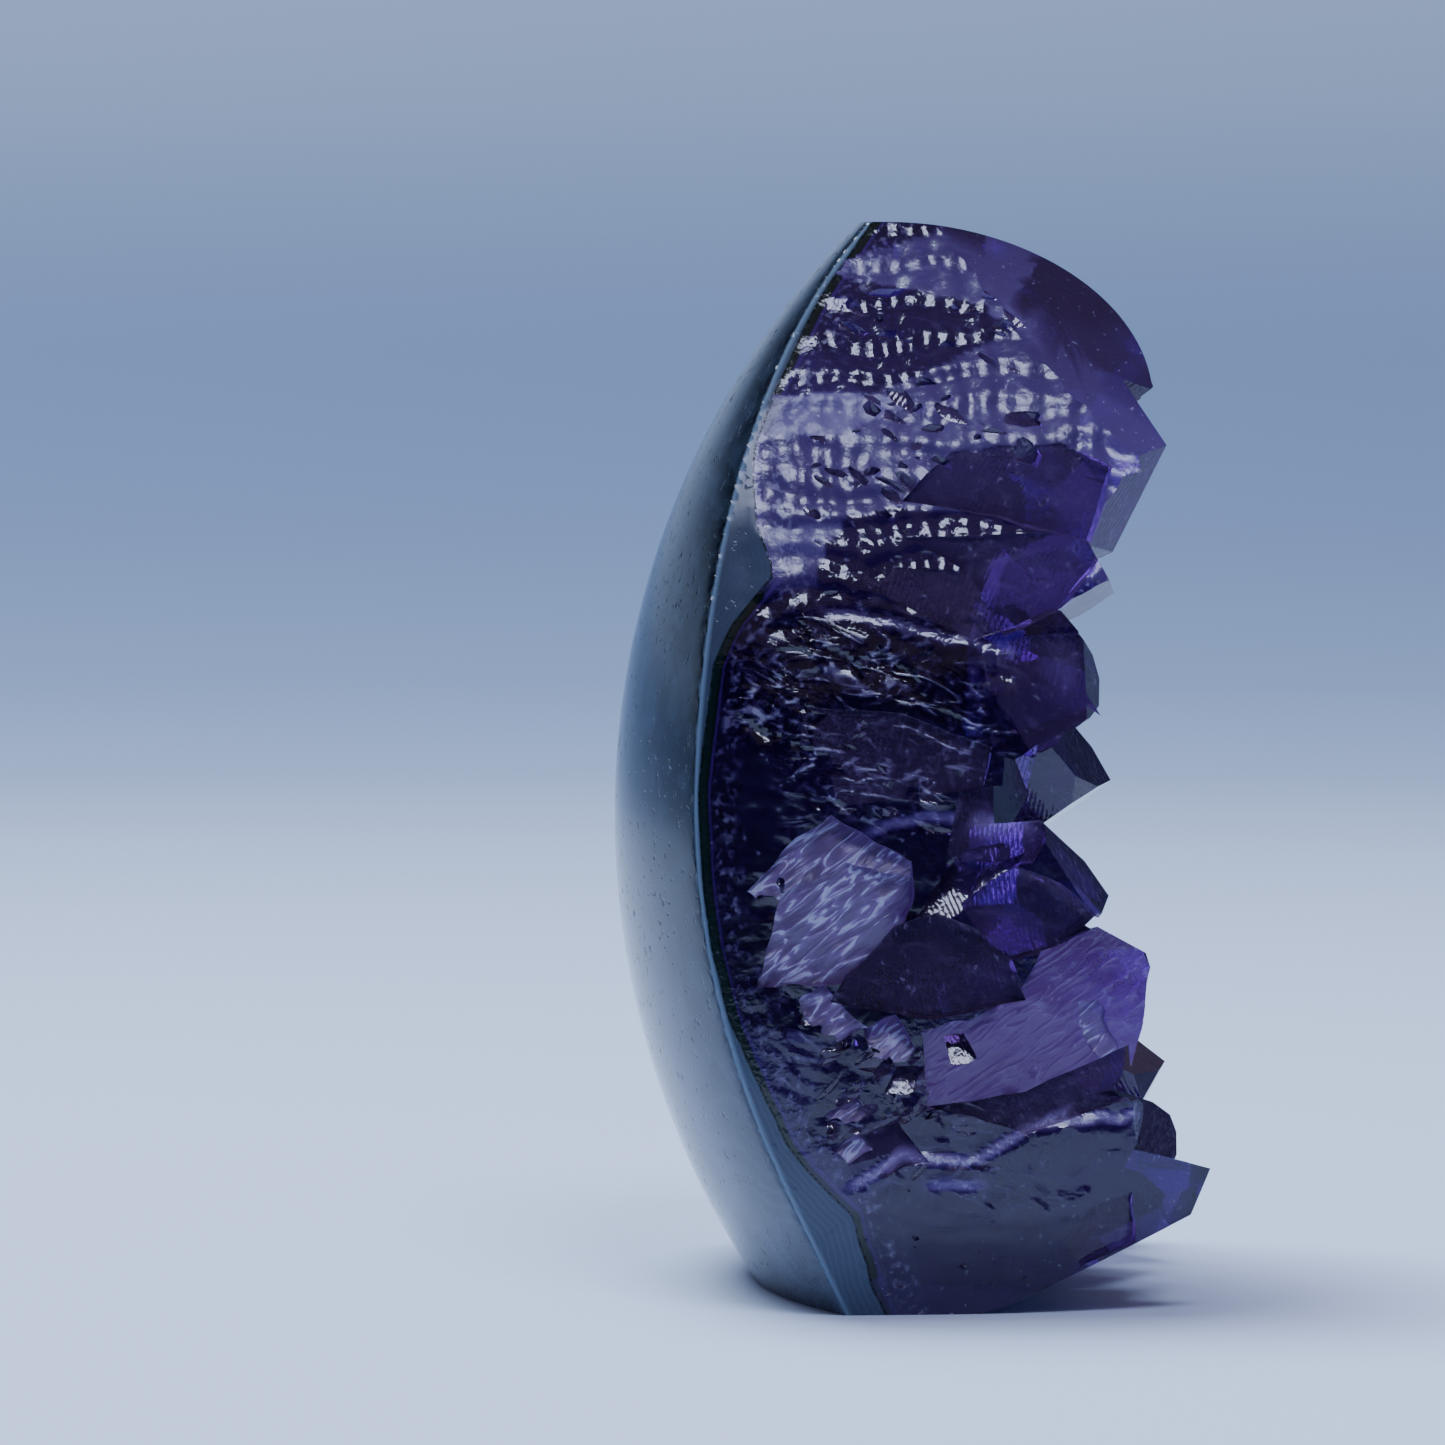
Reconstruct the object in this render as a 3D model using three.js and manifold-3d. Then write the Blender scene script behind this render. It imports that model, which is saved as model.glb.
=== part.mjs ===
// An amethyst druzy point: one natural stone, cut from the wall of a geode and stood on a flat base.
// Its back is the geode's agate rind, ground to a smooth dome. Its two sides are ground to a pointed
// arch and meet in a narrow crest. Its front is the hollow of the geode, grown over with crystals
// that fan out from the rind, and the sides cut lengthwise through those that stand near them.
// Millimetres, +Z up. The crystals face -Y, the rind faces +Y, and the origin is the middle of the base.

import * as THREE from "three";
import { ConvexGeometry } from "three/addons/geometries/ConvexGeometry.js";
import { mergeVertices } from "three/addons/utils/BufferGeometryUtils.js";
import Module from "manifold-3d";

const wasm = await Module();
wasm.setup();

// ---- driving dimensions -------------------------------------------------------------------------

// The dome: the sphere that the rind is ground to.
const DOME = { centre: [0, -38.6, 29.5], radii: [53.6, 53.6, 53.6], around: 84, down: 56 };

// The hollow of the geode, in front of the stone: the ellipsoid that the crystals' tips reach.
// GROOVE is how far below it the solid wall lies, out of sight between the crystals.
const HOLLOW = { centre: [0, -38.6, 27.5], radii: [31, 29.6, 34.5], around: 24, down: 16 };
const GROOVE = 7;

// The front outline: half the stone's width up to each height, a pointed arch on a narrower base.
const ARCH = [
  [18.9, 0],
  [20.6, 5],
  [21.1, 13],
  [20.3, 28],
  [18.4, 41],
  [12.6, 54.2],
  [2.2, 68.7],
];
const ARCH_TOP = 70.9; // where the two sides would meet if the crest didn't cut them off

// The sides are barrelled: they draw in by a share of their width, a run in front of and behind the middle.
const BARREL = { share: 0.09, middle: -1, run: 20 };

// The side outline: a flat base, an underside that rises towards the crystals, and an elliptical crest.
// In front of the crest, tips are cut off along a line that slopes down from its end.
const CREST = { y: -1.8, z: 57, run: 16.6, rise: 10.3, frontZ: 18 };
const TOE = { y: -5.4, bend: -7.2, slope: 0.5 };

// Growth: how strongly the crystals lean towards the middle of the hollow, across and up.
const LEAN = { across: 0.5, up: 0.75, wander: 0.12 };
const RHOMB_ANGLE = THREE.MathUtils.degToRad(38.2); // between a crystal's end faces and its axis
const CRYSTAL_LENGTH = 26;
const BREAK_TILT = THREE.MathUtils.degToRad(50); // of a broken tip, away from the -X side
const UNEVEN = 0.12; // how far a crystal's section is from a regular hexagon
const SET_BACK = [0.02, 0.18]; // of the small end faces from the tip, as a share of the width

// The large crystals round the rim of the hollow: tip (x, y, z), width, roll in degrees, and how much
// of the tip is broken off.
const RIM = [
  [-3.5, -18, 59.6, 9.5, 30, 0],
  [4, -18, 59.4, 9.5, 75, 0],
  [2.5, -18.2, 53.4, 8.6, 100, 0],
  [9.6, -17.2, 53, 8.4, 20, 0],
  [-7, -20.4, 47.2, 13.4, 60, 6.2],
  [-13.6, -15.2, 44.2, 8.4, 5, 0],
  [-15.6, -14.4, 37.8, 9.6, 55, 0.8],
  [-7, -15.8, 32.2, 8, 20, 0],
  [-16.2, -14.6, 25.6, 8.8, 40, 0],
  [-16.6, -18.8, 19.8, 10.5, 62, 2.6],
  [-7, -19.4, 14.6, 7.6, 15, 0.5],
  [-13.4, -19.2, 11.4, 8.2, 70, 0.5],
  [-3, -20.3, 7.8, 8.4, 100, 0],
  [-12, -19, 5.2, 7.4, 35, 0],
  [12.4, -17.4, 47.6, 8.6, 50, 0],
  [15.5, -15, 42.5, 9, 95, 0],
  [17.5, -14, 33.6, 9.8, 25, 0],
  [17.8, -15, 24.2, 8.8, 80, 0],
  [17, -17.6, 14.4, 10, 10, 0],
  [9, -20.6, 6.6, 9, 55, 0],
];

// The crystals between them, in rows over the hollow whose steps are in degrees. Each is out of place
// at random by up to WANDER, and its tip stops short of the hollow by DEPTH.
const LARGE = { seed: 4711, across: 13.2, up: 10.2, width: [6.6, 10], depth: [0, 2.4], room: 5 };
const SMALL = { seed: 815, across: 13, up: 10.6, width: [3.2, 5.2], depth: [2.2, 4.6], room: 3.4 };
const SPREAD = { halfWidth: 48, low: -52, high: 46, wander: 2.8 };

// Scoops broken out of the -X side: middle, radii, and how far each is tipped about X, in degrees.
const SCOOPS = [
  { centre: [-22, -14, 18.4], radii: [3.2, 11.6, 4.6], tip: -12 },
  { centre: [-21.9, 1.6, 23.4], radii: [2, 7.4, 4], tip: -52 },
];

// ---- solids ------------------------------------------------------------------------------------

const TOLERANCE = 0.02; // edges shorter than this are closed up when solids are joined or cut

// A closed geometry as a manifold solid: its vertices merged by position alone.
function solid(geometry) {
  const bare = new THREE.BufferGeometry();
  const source = geometry.index ? geometry.toNonIndexed() : geometry;
  bare.setAttribute("position", source.getAttribute("position"));
  const merged = mergeVertices(bare, 1e-4);
  const mesh = new wasm.Mesh({
    numProp: 3,
    vertProperties: merged.attributes.position.array,
    triVerts: new Uint32Array(merged.index.array),
    tolerance: TOLERANCE,
  });
  return new wasm.Manifold(mesh);
}

function geometryOf(manifold) {
  const mesh = manifold.getMesh();
  const geometry = new THREE.BufferGeometry();
  geometry.setAttribute("position", new THREE.BufferAttribute(mesh.vertProperties, 3));
  geometry.setIndex(new THREE.BufferAttribute(mesh.triVerts, 1));
  geometry.computeVertexNormals();
  return geometry;
}

function ellipsoid({ centre, radii, around, down }, grown = 0) {
  const scale = radii.map((r) => r + grown);
  const sphere = new THREE.SphereGeometry(1, around, down).rotateX(Math.PI / 2);
  return solid(sphere.scale(...scale).translate(...centre));
}

// The pointed arch, drawn through the stone from front to back, its sides barrelled on the way.
function sides() {
  const curve = new THREE.SplineCurve(ARCH.map((p) => new THREE.Vector2(...p))).getPoints(22);
  const outline = new THREE.Shape();
  outline.moveTo(-ARCH[0][0], 0);
  curve.forEach((p) => outline.lineTo(p.x, p.y));
  outline.lineTo(0, ARCH_TOP);
  [...curve].reverse().forEach((p) => outline.lineTo(-p.x, p.y));
  const depth = 72;
  const geometry = new THREE.ExtrudeGeometry(outline, { depth, steps: 14, bevelEnabled: false });
  geometry.rotateX(Math.PI / 2).translate(0, depth / 2, 0);
  const p = geometry.getAttribute("position");
  for (let i = 0; i < p.count; i++) {
    const run = (p.getY(i) - BARREL.middle) / BARREL.run;
    p.setX(i, p.getX(i) * (1 - BARREL.share * run * run));
  }
  return solid(geometry);
}

// The side outline, drawn across the stone.
function profile() {
  const back = 30;
  const front = -40;
  const width = 60;
  const outline = new THREE.Shape();
  outline.moveTo(back, 0);
  outline.lineTo(TOE.y, 0);
  const foot = 2 * TOE.bend - TOE.y;
  outline.quadraticCurveTo(TOE.bend, 0, foot, (TOE.bend - foot) * TOE.slope);
  outline.lineTo(front, (TOE.bend - front) * TOE.slope);
  outline.lineTo(front, CREST.frontZ);
  outline.lineTo(CREST.y - CREST.run, CREST.z);
  outline.absellipse(CREST.y, CREST.z, CREST.run, CREST.rise, Math.PI, Math.PI / 2, true);
  outline.lineTo(back, CREST.z + CREST.rise);
  const geometry = new THREE.ExtrudeGeometry(outline, {
    depth: width,
    bevelEnabled: false,
    curveSegments: 16,
  });
  const yzToXyz = new THREE.Matrix4().set(0, 0, 1, -width / 2, 1, 0, 0, 0, 0, 1, 0, 0, 0, 0, 0, 1);
  return solid(geometry.applyMatrix4(yzToXyz));
}

// ---- crystals ----------------------------------------------------------------------------------

let seed = 1;
function random() {
  seed = (seed * 16807) % 2147483647;
  return seed / 2147483647;
}
const vary = (amount) => (2 * random() - 1) * amount;

// The point of the hollow at these angles across and up, in degrees.
function tipAt(across, up) {
  const polar = THREE.MathUtils.degToRad(90 - up);
  const tip = new THREE.Vector3().setFromSphericalCoords(1, polar, THREE.MathUtils.degToRad(across));
  return new THREE.Vector3(tip.x, tip.z, tip.y)
    .multiply(new THREE.Vector3(...HOLLOW.radii))
    .add(new THREE.Vector3(...HOLLOW.centre));
}

// The way a crystal points whose tip is there.
function growth(tip) {
  const [rx, ry, rz] = HOLLOW.radii;
  return new THREE.Vector3(
    (-LEAN.across * (tip.x - HOLLOW.centre[0])) / rx ** 2,
    -(tip.y - HOLLOW.centre[1]) / ry ** 2,
    (-LEAN.up * (tip.z - HOLLOW.centre[2])) / rz ** 2,
  ).normalize();
}

// The faces of a quartz crystal in its own frame, where Z is its axis and its tip is at the origin:
// six sides, three large end faces through the tip, three small ones set back, its foot, and a break
// across the tip if it has one.
function crystalFaces({ width, roll, setBack = 0.1, broken = 0 }) {
  const faces = [];
  for (let k = 0; k < 6; k++) {
    const turn = roll + (k * Math.PI) / 3;
    const out = new THREE.Vector3(Math.cos(turn), Math.sin(turn), 0);
    const apothem = (width / 2) * (1 + UNEVEN * Math.cos(2.4 * k + 5 * roll));
    faces.push(new THREE.Plane(out, -apothem));
    const end = out.clone().multiplyScalar(Math.cos(RHOMB_ANGLE));
    end.z = Math.sin(RHOMB_ANGLE);
    faces.push(new THREE.Plane(end, k % 2 ? -setBack * width : 0));
  }
  faces.push(new THREE.Plane(new THREE.Vector3(0, 0, -1), -CRYSTAL_LENGTH));
  const across = new THREE.Vector3(Math.sin(BREAK_TILT), 0, Math.cos(BREAK_TILT));
  if (broken) faces.push(new THREE.Plane(across, broken));
  return faces;
}

// The solid that lies behind all the faces: the hull of the corners where three of them meet.
function cutBy(faces) {
  const corners = [];
  const cross = (a, b) => new THREE.Vector3().crossVectors(a.normal, b.normal);
  for (let a = 0; a < faces.length; a++)
    for (let b = a + 1; b < faces.length; b++)
      for (let c = b + 1; c < faces.length; c++) {
        const det = faces[a].normal.dot(cross(faces[b], faces[c]));
        if (Math.abs(det) < 1e-6) continue;
        const corner = new THREE.Vector3()
          .addScaledVector(cross(faces[b], faces[c]), -faces[a].constant)
          .addScaledVector(cross(faces[c], faces[a]), -faces[b].constant)
          .addScaledVector(cross(faces[a], faces[b]), -faces[c].constant)
          .divideScalar(det);
        const inside = faces.every((f) => f.distanceToPoint(corner) < 1e-6);
        const known = corners.some((p) => p.distanceTo(corner) < 1e-3);
        if (inside && !known) corners.push(corner);
      }
  return new ConvexGeometry(corners);
}

function crystal(form) {
  const geometry = cutBy(crystalFaces(form));
  const turn = new THREE.Quaternion().setFromUnitVectors(new THREE.Vector3(0, 0, 1), form.axis);
  geometry.applyQuaternion(turn).translate(...form.tip.toArray());
  return solid(geometry);
}

// The large crystals round the rim.
function rim() {
  return RIM.map(([x, y, z, width, degrees, broken]) => {
    const tip = new THREE.Vector3(x, y, z);
    return { tip, axis: growth(tip), width, roll: THREE.MathUtils.degToRad(degrees), broken };
  });
}

// Crystals all over the hollow, row by row, wherever there is room for a tip between those taken.
function field(size, taken) {
  seed = size.seed;
  const crystals = [];
  let row = 0;
  for (let up = SPREAD.low; up <= SPREAD.high; up += size.up, row++) {
    const shift = row % 2 ? size.across / 2 : 0;
    for (let across = shift - SPREAD.halfWidth; across <= SPREAD.halfWidth; across += size.across) {
      const tip = tipAt(across + vary(SPREAD.wander), up + vary(SPREAD.wander));
      const stray = new THREE.Vector3(vary(LEAN.wander), 0, vary(LEAN.wander));
      const axis = growth(tip).add(stray).normalize();
      const width = THREE.MathUtils.lerp(...size.width, random());
      const roll = random() * Math.PI;
      const setBack = THREE.MathUtils.lerp(...SET_BACK, random());
      tip.addScaledVector(axis, -THREE.MathUtils.lerp(...size.depth, random()));
      if (taken.every((other) => other.tip.distanceTo(tip) > size.room))
        crystals.push({ tip, axis, width, roll, setBack });
    }
  }
  return crystals;
}

// ---- breaks ------------------------------------------------------------------------------------

function scoop({ centre, radii, tip }) {
  const geometry = new THREE.SphereGeometry(1, 18, 12).scale(...radii);
  return solid(geometry.rotateX(THREE.MathUtils.degToRad(tip)).translate(...centre));
}

// ---- the stone ---------------------------------------------------------------------------------

const ground = ellipsoid(DOME).intersect(sides()).intersect(profile());
const envelope = SCOOPS.map(scoop).reduce((rest, next) => rest.subtract(next), ground);
const rimCrystals = rim();
const large = [...rimCrystals, ...field(LARGE, rimCrystals)];
const crystals = [...large, ...field(SMALL, large)];
const druse = crystals.map(crystal).reduce((whole, next) => whole.add(next));
const stone = envelope.subtract(ellipsoid(HOLLOW, GROOVE)).add(druse.intersect(envelope));

const amethyst = new THREE.Mesh(
  geometryOf(stone),
  new THREE.MeshStandardMaterial({ name: "amethyst", color: 0x3a2468, roughness: 0.12, metalness: 0 }),
);
amethyst.name = "amethyst_point";

const point = new THREE.Group();
point.name = "amethyst_druzy_point";
point.add(amethyst);

export default point;
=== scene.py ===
"""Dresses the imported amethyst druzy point: a clear violet crystal mass in front of a ground agate rind.

The shapes are modelled in millimetres, from the same named sizes as the solid, and each finished
piece is scaled to metres. +Z is up, the crystals face -Y and the rind faces +Y.
"""

import math

import bmesh
import bpy
from bpy.props import FloatProperty, FloatVectorProperty, IntProperty, PointerProperty
from mathutils import Matrix, Vector, noise


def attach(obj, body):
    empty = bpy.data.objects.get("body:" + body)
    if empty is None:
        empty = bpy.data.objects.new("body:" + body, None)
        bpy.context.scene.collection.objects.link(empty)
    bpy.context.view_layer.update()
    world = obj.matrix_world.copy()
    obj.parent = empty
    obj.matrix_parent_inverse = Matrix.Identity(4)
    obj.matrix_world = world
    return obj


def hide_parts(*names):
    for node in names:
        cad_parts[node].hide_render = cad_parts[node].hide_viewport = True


bl_info = {
    "name": "Amethyst druzy point",
    "version": (1, 0, 0),
    "blender": (4, 5, 0),
    "location": "View3D > Sidebar > Amethyst",
    "description": "Builds a ground amethyst druzy point with its agate rind, floor, lights and camera",
    "category": "Add Mesh",
}

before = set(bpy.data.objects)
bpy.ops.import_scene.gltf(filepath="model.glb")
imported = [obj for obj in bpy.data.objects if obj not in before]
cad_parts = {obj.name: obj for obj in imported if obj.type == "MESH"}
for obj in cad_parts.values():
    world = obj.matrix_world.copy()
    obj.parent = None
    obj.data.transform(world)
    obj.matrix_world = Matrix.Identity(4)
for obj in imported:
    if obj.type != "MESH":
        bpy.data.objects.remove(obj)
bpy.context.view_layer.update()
NODE = "amethyst_point"
MM = 0.001

# ---- sizes, in millimetres ------------------------------------------------------------------------

# The sphere that the rind is ground to, and the ellipsoid of the geode's hollow that the tips reach.
DOME_CENTRE = Vector((0, -38.6, 29.5))
HOLLOW_CENTRE = Vector((0, -38.6, 27.5))
HOLLOW_RADII = Vector((31, 29.6, 34.5))

# Half the stone's width at each height: (width, height).
ARCH = ((18.9, 0), (20.6, 5), (21.1, 13), (20.3, 28), (18.4, 41), (12.6, 54.2), (2.2, 68.7))
WIDEST = 21.08
BARREL_SHARE, BARREL_MIDDLE, BARREL_RUN = 0.09, -1, 20

# The side outline: an elliptical crest, and an underside that rises towards the crystals.
CREST_Y, CREST_Z, CREST_RUN, CREST_RISE, CREST_FRONT_Z = -1.8, 57, 16.6, 10.3, 18
TOE_Y, TOE_BEND, TOE_SLOPE = -5.4, -7.2, 0.5
FRONT, BACK = -26, 16
GRID_STEP = 0.28
RIM_ANGLE = math.radians(30)

# A facet ground across the front of the crest on the -X side: three points of its plane.
CREST_FACET = (Vector((-5.4, -6.9, 64.3)), Vector((-10.1, -12.3, 57.3)), Vector((-8, -18, 56)))

# How thick the agate is at each height where the sides cut through it: (height, thickness).
AGATE = (
    (0, 1.9), (5, 2.6), (10.5, 1.5), (14, 1.0), (18, 0.55), (29, 0.45), (40, 0.7), (43, 1.6),
    (45.5, 3.0), (50, 1.6), (54, 0.55), (60, 0.6), (68, 0.3),
)
EMBEDDED = 0.12

# How pale and hazy the ground amethyst is left at each height: (height, share). This is painted sheen:
# strongest high on the sides where the key light's haze lies, raised low down where the floor is
# reflected, and least in the middle.
TONES_AND_SHEEN = (
    (0, 0.48), (9, 0.45), (14, 0.36), (24, 0.2), (42, 0.15), (47, 0.82), (56, 0.84), (62, 0.74), (68, 0.6),
)
MARKS = ("grown", "broken", "bruised", "from_rind", "tone_and_sheen", "white", "split")

# Growth of the crystals: their lean to the middle of the hollow, and the shape of quartz.
LEAN_ACROSS, LEAN_UP, LEAN_WANDER = 0.5, 0.75, 0.12
RHOMB_ANGLE, BREAK_TILT = math.radians(38.2), math.radians(50)
CRYSTAL_LENGTH, UNEVEN = 26, 0.12
SET_BACK, RIM_SET_BACK = (0.02, 0.18), 0.1

# The large crystals round the rim: tip, width, roll in degrees, how much of the tip is broken off, and
# how many degrees the crystal points higher than its neighbours would have it.
RIM = (
    (-3.5, -22.4, 60, 9.5, 30, 0, 48),
    (4, -22.2, 59.8, 9.5, 80, 0, 48),
    (2.5, -18.2, 53.4, 8.6, 100, 0, 0),
    (9.6, -17.2, 53, 8.4, 20, 0, 0),
    (-7, -20.4, 47.2, 13.4, 60, 6.2, 0),
    (-13.6, -15.2, 44.2, 8.4, 5, 0, 0),
    (-15.6, -14.4, 37.8, 9.6, 55, 0.8, 0),
    (-7, -15.8, 32.2, 8, 20, 0, 0),
    (-16.2, -14.6, 25.6, 8.8, 40, 0, 0),
    (-16.6, -18.8, 19.8, 10.5, 62, 2.6, 0),
    (-7, -19.4, 14.6, 7.6, 15, 0.5, 0),
    (-13.4, -19.2, 11.4, 8.2, 70, 0.5, 0),
    (-3, -20.3, 7.8, 8.4, 100, 0, 0),
    (-12, -19, 5.2, 7.4, 35, 0, 0),
    (12.4, -17.4, 47.6, 8.6, 50, 0, 0),
    (15.5, -15, 42.5, 9, 95, 0, 0),
    (17.5, -14, 33.6, 9.8, 25, 0, 0),
    (17.8, -15, 24.2, 8.8, 80, 0, 0),
    (17, -17.6, 14.4, 10, 10, 0, 0),
    (9, -20.6, 6.6, 9, 55, 0, 0),
)

# The crystals between them, in rows over the hollow: steps in degrees, widths, depths and room.
LARGE = {"across": 13.2, "up": 10.2, "width": (6.6, 10), "depth": (0, 2.4), "room": 5}
SMALL = {"across": 13, "up": 10.6, "width": (3.2, 5.2), "depth": (2.2, 4.6), "room": 3.4}
SPREAD_HALF, SPREAD_LOW, SPREAD_HIGH, SPREAD_WANDER = 48, -52, 46, 2.8

# Places of the -X side that the grinding left: grown faces and breaks that lie below it. For each,
# how it was made, how far its middle is sunk, how much deeper it gets for each millimetre towards the
# front and upwards, and its outline (y, z).
GROUND, GROWN, BROKEN, BRUISED = 0.0, 1.0, 2.0, 3.0
RECESSES = (
    # The shaded underside of the top crystal, and the two facets below it.
    (GROWN, 1.1, 0.04, -0.3, ((-2, 50), (-5, 53), (-12, 53.5), (-15, 52), (-13.5, 47.5), (-8, 49))),
    (GROWN, 1.1, 0.02, -0.24, ((-2, 47.8), (-13, 48), (-14, 46.5), (-11.5, 43.5), (-8, 42), (-6, 45.5))),
    (GROWN, 0.5, 0.03, -0.1, ((1.5, 45.5), (-1.5, 46), (-7, 45.5), (-10, 43), (-6, 41.5), (-1, 44))),
    # The crystals of the middle, and the facets behind them.
    (GROWN, 0.5, 0.08, 0.04, ((-6.5, 41), (-9.5, 41.8), (-19, 42), (-19, 33), (-8, 34), (-6.8, 37))),
    (GROWN, 0.35, 0.03, 0.04, ((4.5, 37.5), (-1.5, 37), (-7, 35), (-6.5, 32.5), (2, 31.5), (5, 34))),
    (GROWN, 0.8, 0.15, 0.1, ((-7, 32.5), (-10.5, 32.5), (-10.5, 30), (-9.5, 28), (-4, 28), (-5, 32))),
    # The bruised shell: its upper hollow, its middle and a flake below it.
    (BRUISED, 0.5, 0.02, 0.2, ((8, 26.3), (5, 29.5), (3, 30.6), (0, 29.2), (-2, 28), (-2, 24.6), (6, 24))),
    (BRUISED, 0.9, 0.1, -0.06, ((6, 26), (2, 28), (-2, 26.8), (-1.5, 24.5), (2.5, 20.6), (7.4, 20.4))),
    (BRUISED, 0.35, 0.05, 0.1, ((5, 19.6), (3.5, 20.4), (0.8, 18), (2.6, 17), (4.5, 18.2))),
    # The deep violet face beside it, with bright striated facets above.
    (GROWN, 1.2, 0.07, 0.05, ((3, 19.5), (0.5, 23.5), (-3.5, 24.8), (-7.5, 23), (-9, 19.5), (-3, 18.5))),
    (GROWN, 0.9, -0.01, 0.62, ((-2.2, 24.5), (-4.6, 27.8), (-6.2, 27.2), (-5, 25), (-3.5, 24))),
    (GROWN, 0.8, -0.02, 0.64, ((-5, 25.7), (-6.5, 27.6), (-9, 28.4), (-7.6, 26.6))),
    (GROWN, 1.7, 0.1, 0.06, ((-5, 25.5), (-8.5, 27.5), (-11, 26.5), (-14, 24), (-10, 22.5), (-7.5, 22))),
    # The satin break at the front, and the faces below it.
    (BROKEN, 1.0, 0.05, 0.03, ((-2.5, 17.8), (-6, 18.5), (-8.5, 19.8), (-11, 24), (-21, 24), (-21, 16.5))),
    (BROKEN, 1.1, 0.04, -0.05, ((-2.6, 17.8), (-9, 19), (-21, 20), (-20, 16), (-11, 14), (-3, 12.9))),
    (BRUISED, 1.4, 0.05, 0.1, ((-12.4, 19.2), (-13.6, 19.4), (-14.9, 16.2), (-13.9, 15.2), (-12.9, 16.6))),
    (GROWN, 1.15, 0.0, 0.52, ((-4.1, 17.2), (-5.1, 17.4), (-6, 16), (-5.2, 15.3), (-4.4, 15.6))),
    (GROWN, 1.3, 0.02, 0.1, ((-3, 13), (-9, 13.8), (-15.5, 16.6), (-15.8, 13.5), (-9, 11.4), (-6, 12.4))),
    # Chips, flakes and small faces low on the side.
    (BRUISED, 0.5, 0.1, 0.5, ((1, 18), (-1, 18.5), (-2.2, 16.6), (-1.2, 15.6), (0.5, 16.2))),
    (GROWN, 0.6, 0.0, 0.66, ((0, 13.5), (-1, 15.4), (-2.4, 15.4), (-2, 13.8))),
    (BRUISED, 0.4, 0.0, 0.6, ((3.5, 12.4), (1.4, 13.6), (0.6, 12.8), (2.5, 11.6))),
    (BRUISED, 0.5, 0.0, 0.5, ((3, 10.4), (1.2, 11.4), (0.4, 10.4), (2, 9.4))),
    (GROWN, 0.35, 0.05, 0.3, ((2, 7.7), (0.5, 8.2), (-1.5, 9.5), (-3, 9.6), (-1, 12), (2, 11))),
    (GROWN, 0.5, 0.1, -0.1, ((-11.5, 4.5), (-13, 6.6), (-15.6, 7.6), (-15.8, 4.4), (-12.5, 3))),
)
BREAK_FLARE, OUTWARD = 0.14, 14
# How deep the ripples of each kind of face are, and how ragged its outline is.
RIPPLED = {GROWN: 0, BROKEN: 0.1, BRUISED: 0.24}
RAGGED = {GROWN: 0.12, BROKEN: 0.3, BRUISED: 0.3}

# The same on the +X side, scattered: how many, middle and half spread (y, z), size, depth, how its slopes
# vary, the share of breaks, and how much lower than long an outline is.
SCATTERED = {"count": 17, "middle": (-6, 29), "spread": (8, 25), "size": (2.2, 4.6), "sunk": (0.3, 1.2)}
SCATTERED_SLOPES, SCATTERED_BREAKS, SCATTERED_LOW = (0.15, 0.4), 0.2, 0.7

# Where grinding pulled flakes out of both sides: middle (y, z), half spread (y, z), size of a flake, how
# steep its floor is, and how white it is left.
FLAKES = (
    ((-4.5, 59), (8.5, 8), 3.0, 0.022, 0.12),
    ((0.5, 37), (9.5, 7.5), 2.4, 0.11, 1.0),
    ((4.5, 23), (3, 12), 1.4, 0.14, 0.5),
    ((-2, 13), (7.5, 4), 1.5, 0.1, 0.4),
    ((-7, 8.4), (9, 2.2), 1.5, 0.1, 0.3),
)
FLAKE_RUN, FLAKE_STRETCH, FLAKE_HAZE = Vector((-0.86, -0.51)), 0.5, 0.55

# The polish left the upper sides evenly dimpled: spacing, depth, the heights where it starts to show, and
# how much of it the +X side has.
DIMPLE_SPACING, DIMPLE_DEPTH, DIMPLES_FROM, DIMPLES_FULL, DIMPLES_PLUS_X = 2.2, 0.18, 42.5, 44.5, 0.12
# The agate wears lower than the quartz: how steeply the sides lean off over it, and how far at most.
AGATE_LEAN, AGATE_LOWER = 0.09, 0.22
# What counts as on a ground side, on the dome and clear of the base.
ON_FACE, CLEAR_OF_BASE = 0.05, 0.3

# Where angular hollows between the crystals show in the ground sides: middle (y, z), half spread
# (y, z), how many, length range, and their slope in degrees.
PIT_FIELDS = (
    ((-4.5, 57), (5.5, 6), 46, (1.2, 3.6), -28),
    ((0, 50), (4, 6), 26, (0.8, 2.4), -20),
    ((-3, 36.5), (7.5, 6.5), 34, (0.8, 2.6), -6),
    ((-2, 13), (5.5, 4), 70, (0.9, 2.8), 24),
    ((-4, 4.5), (5.5, 3.6), 18, (0.3, 1.0), 20),
    ((-1, 24), (5, 9), 16, (0.5, 1.6), 35),
)

# Ledges split in the ground sides: the drop and height of the bevel, the reach of the hollow above it, how
# white the split is (a white crack with a painted highlight where its edge would catch the light), and the
# line (y, z) from back to front.
LEDGES = (
    (
        0.5, 0.9, 3.4, 0.85,
        ((2.6, 7.4), (0.2, 8.5), (-1.5, 9.5), (-5.8, 9.2), (-9.2, 11.3), (-12, 11.6), (-17, 12)),
    ),
    (0.3, 0.6, 1.2, 0.7, ((-2.2, 7.7), (-4, 8), (-7.2, 7.7))),
    (0.12, 0.5, 2.6, 0.3, ((4, 43.2), (0, 42.4), (-4.5, 41.4), (-9, 40.2), (-13, 39))),
    (0.12, 0.5, 3.0, 0.5, ((1.5, 29.4), (-3, 30.6), (-8, 30), (-12, 31))),
)


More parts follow.
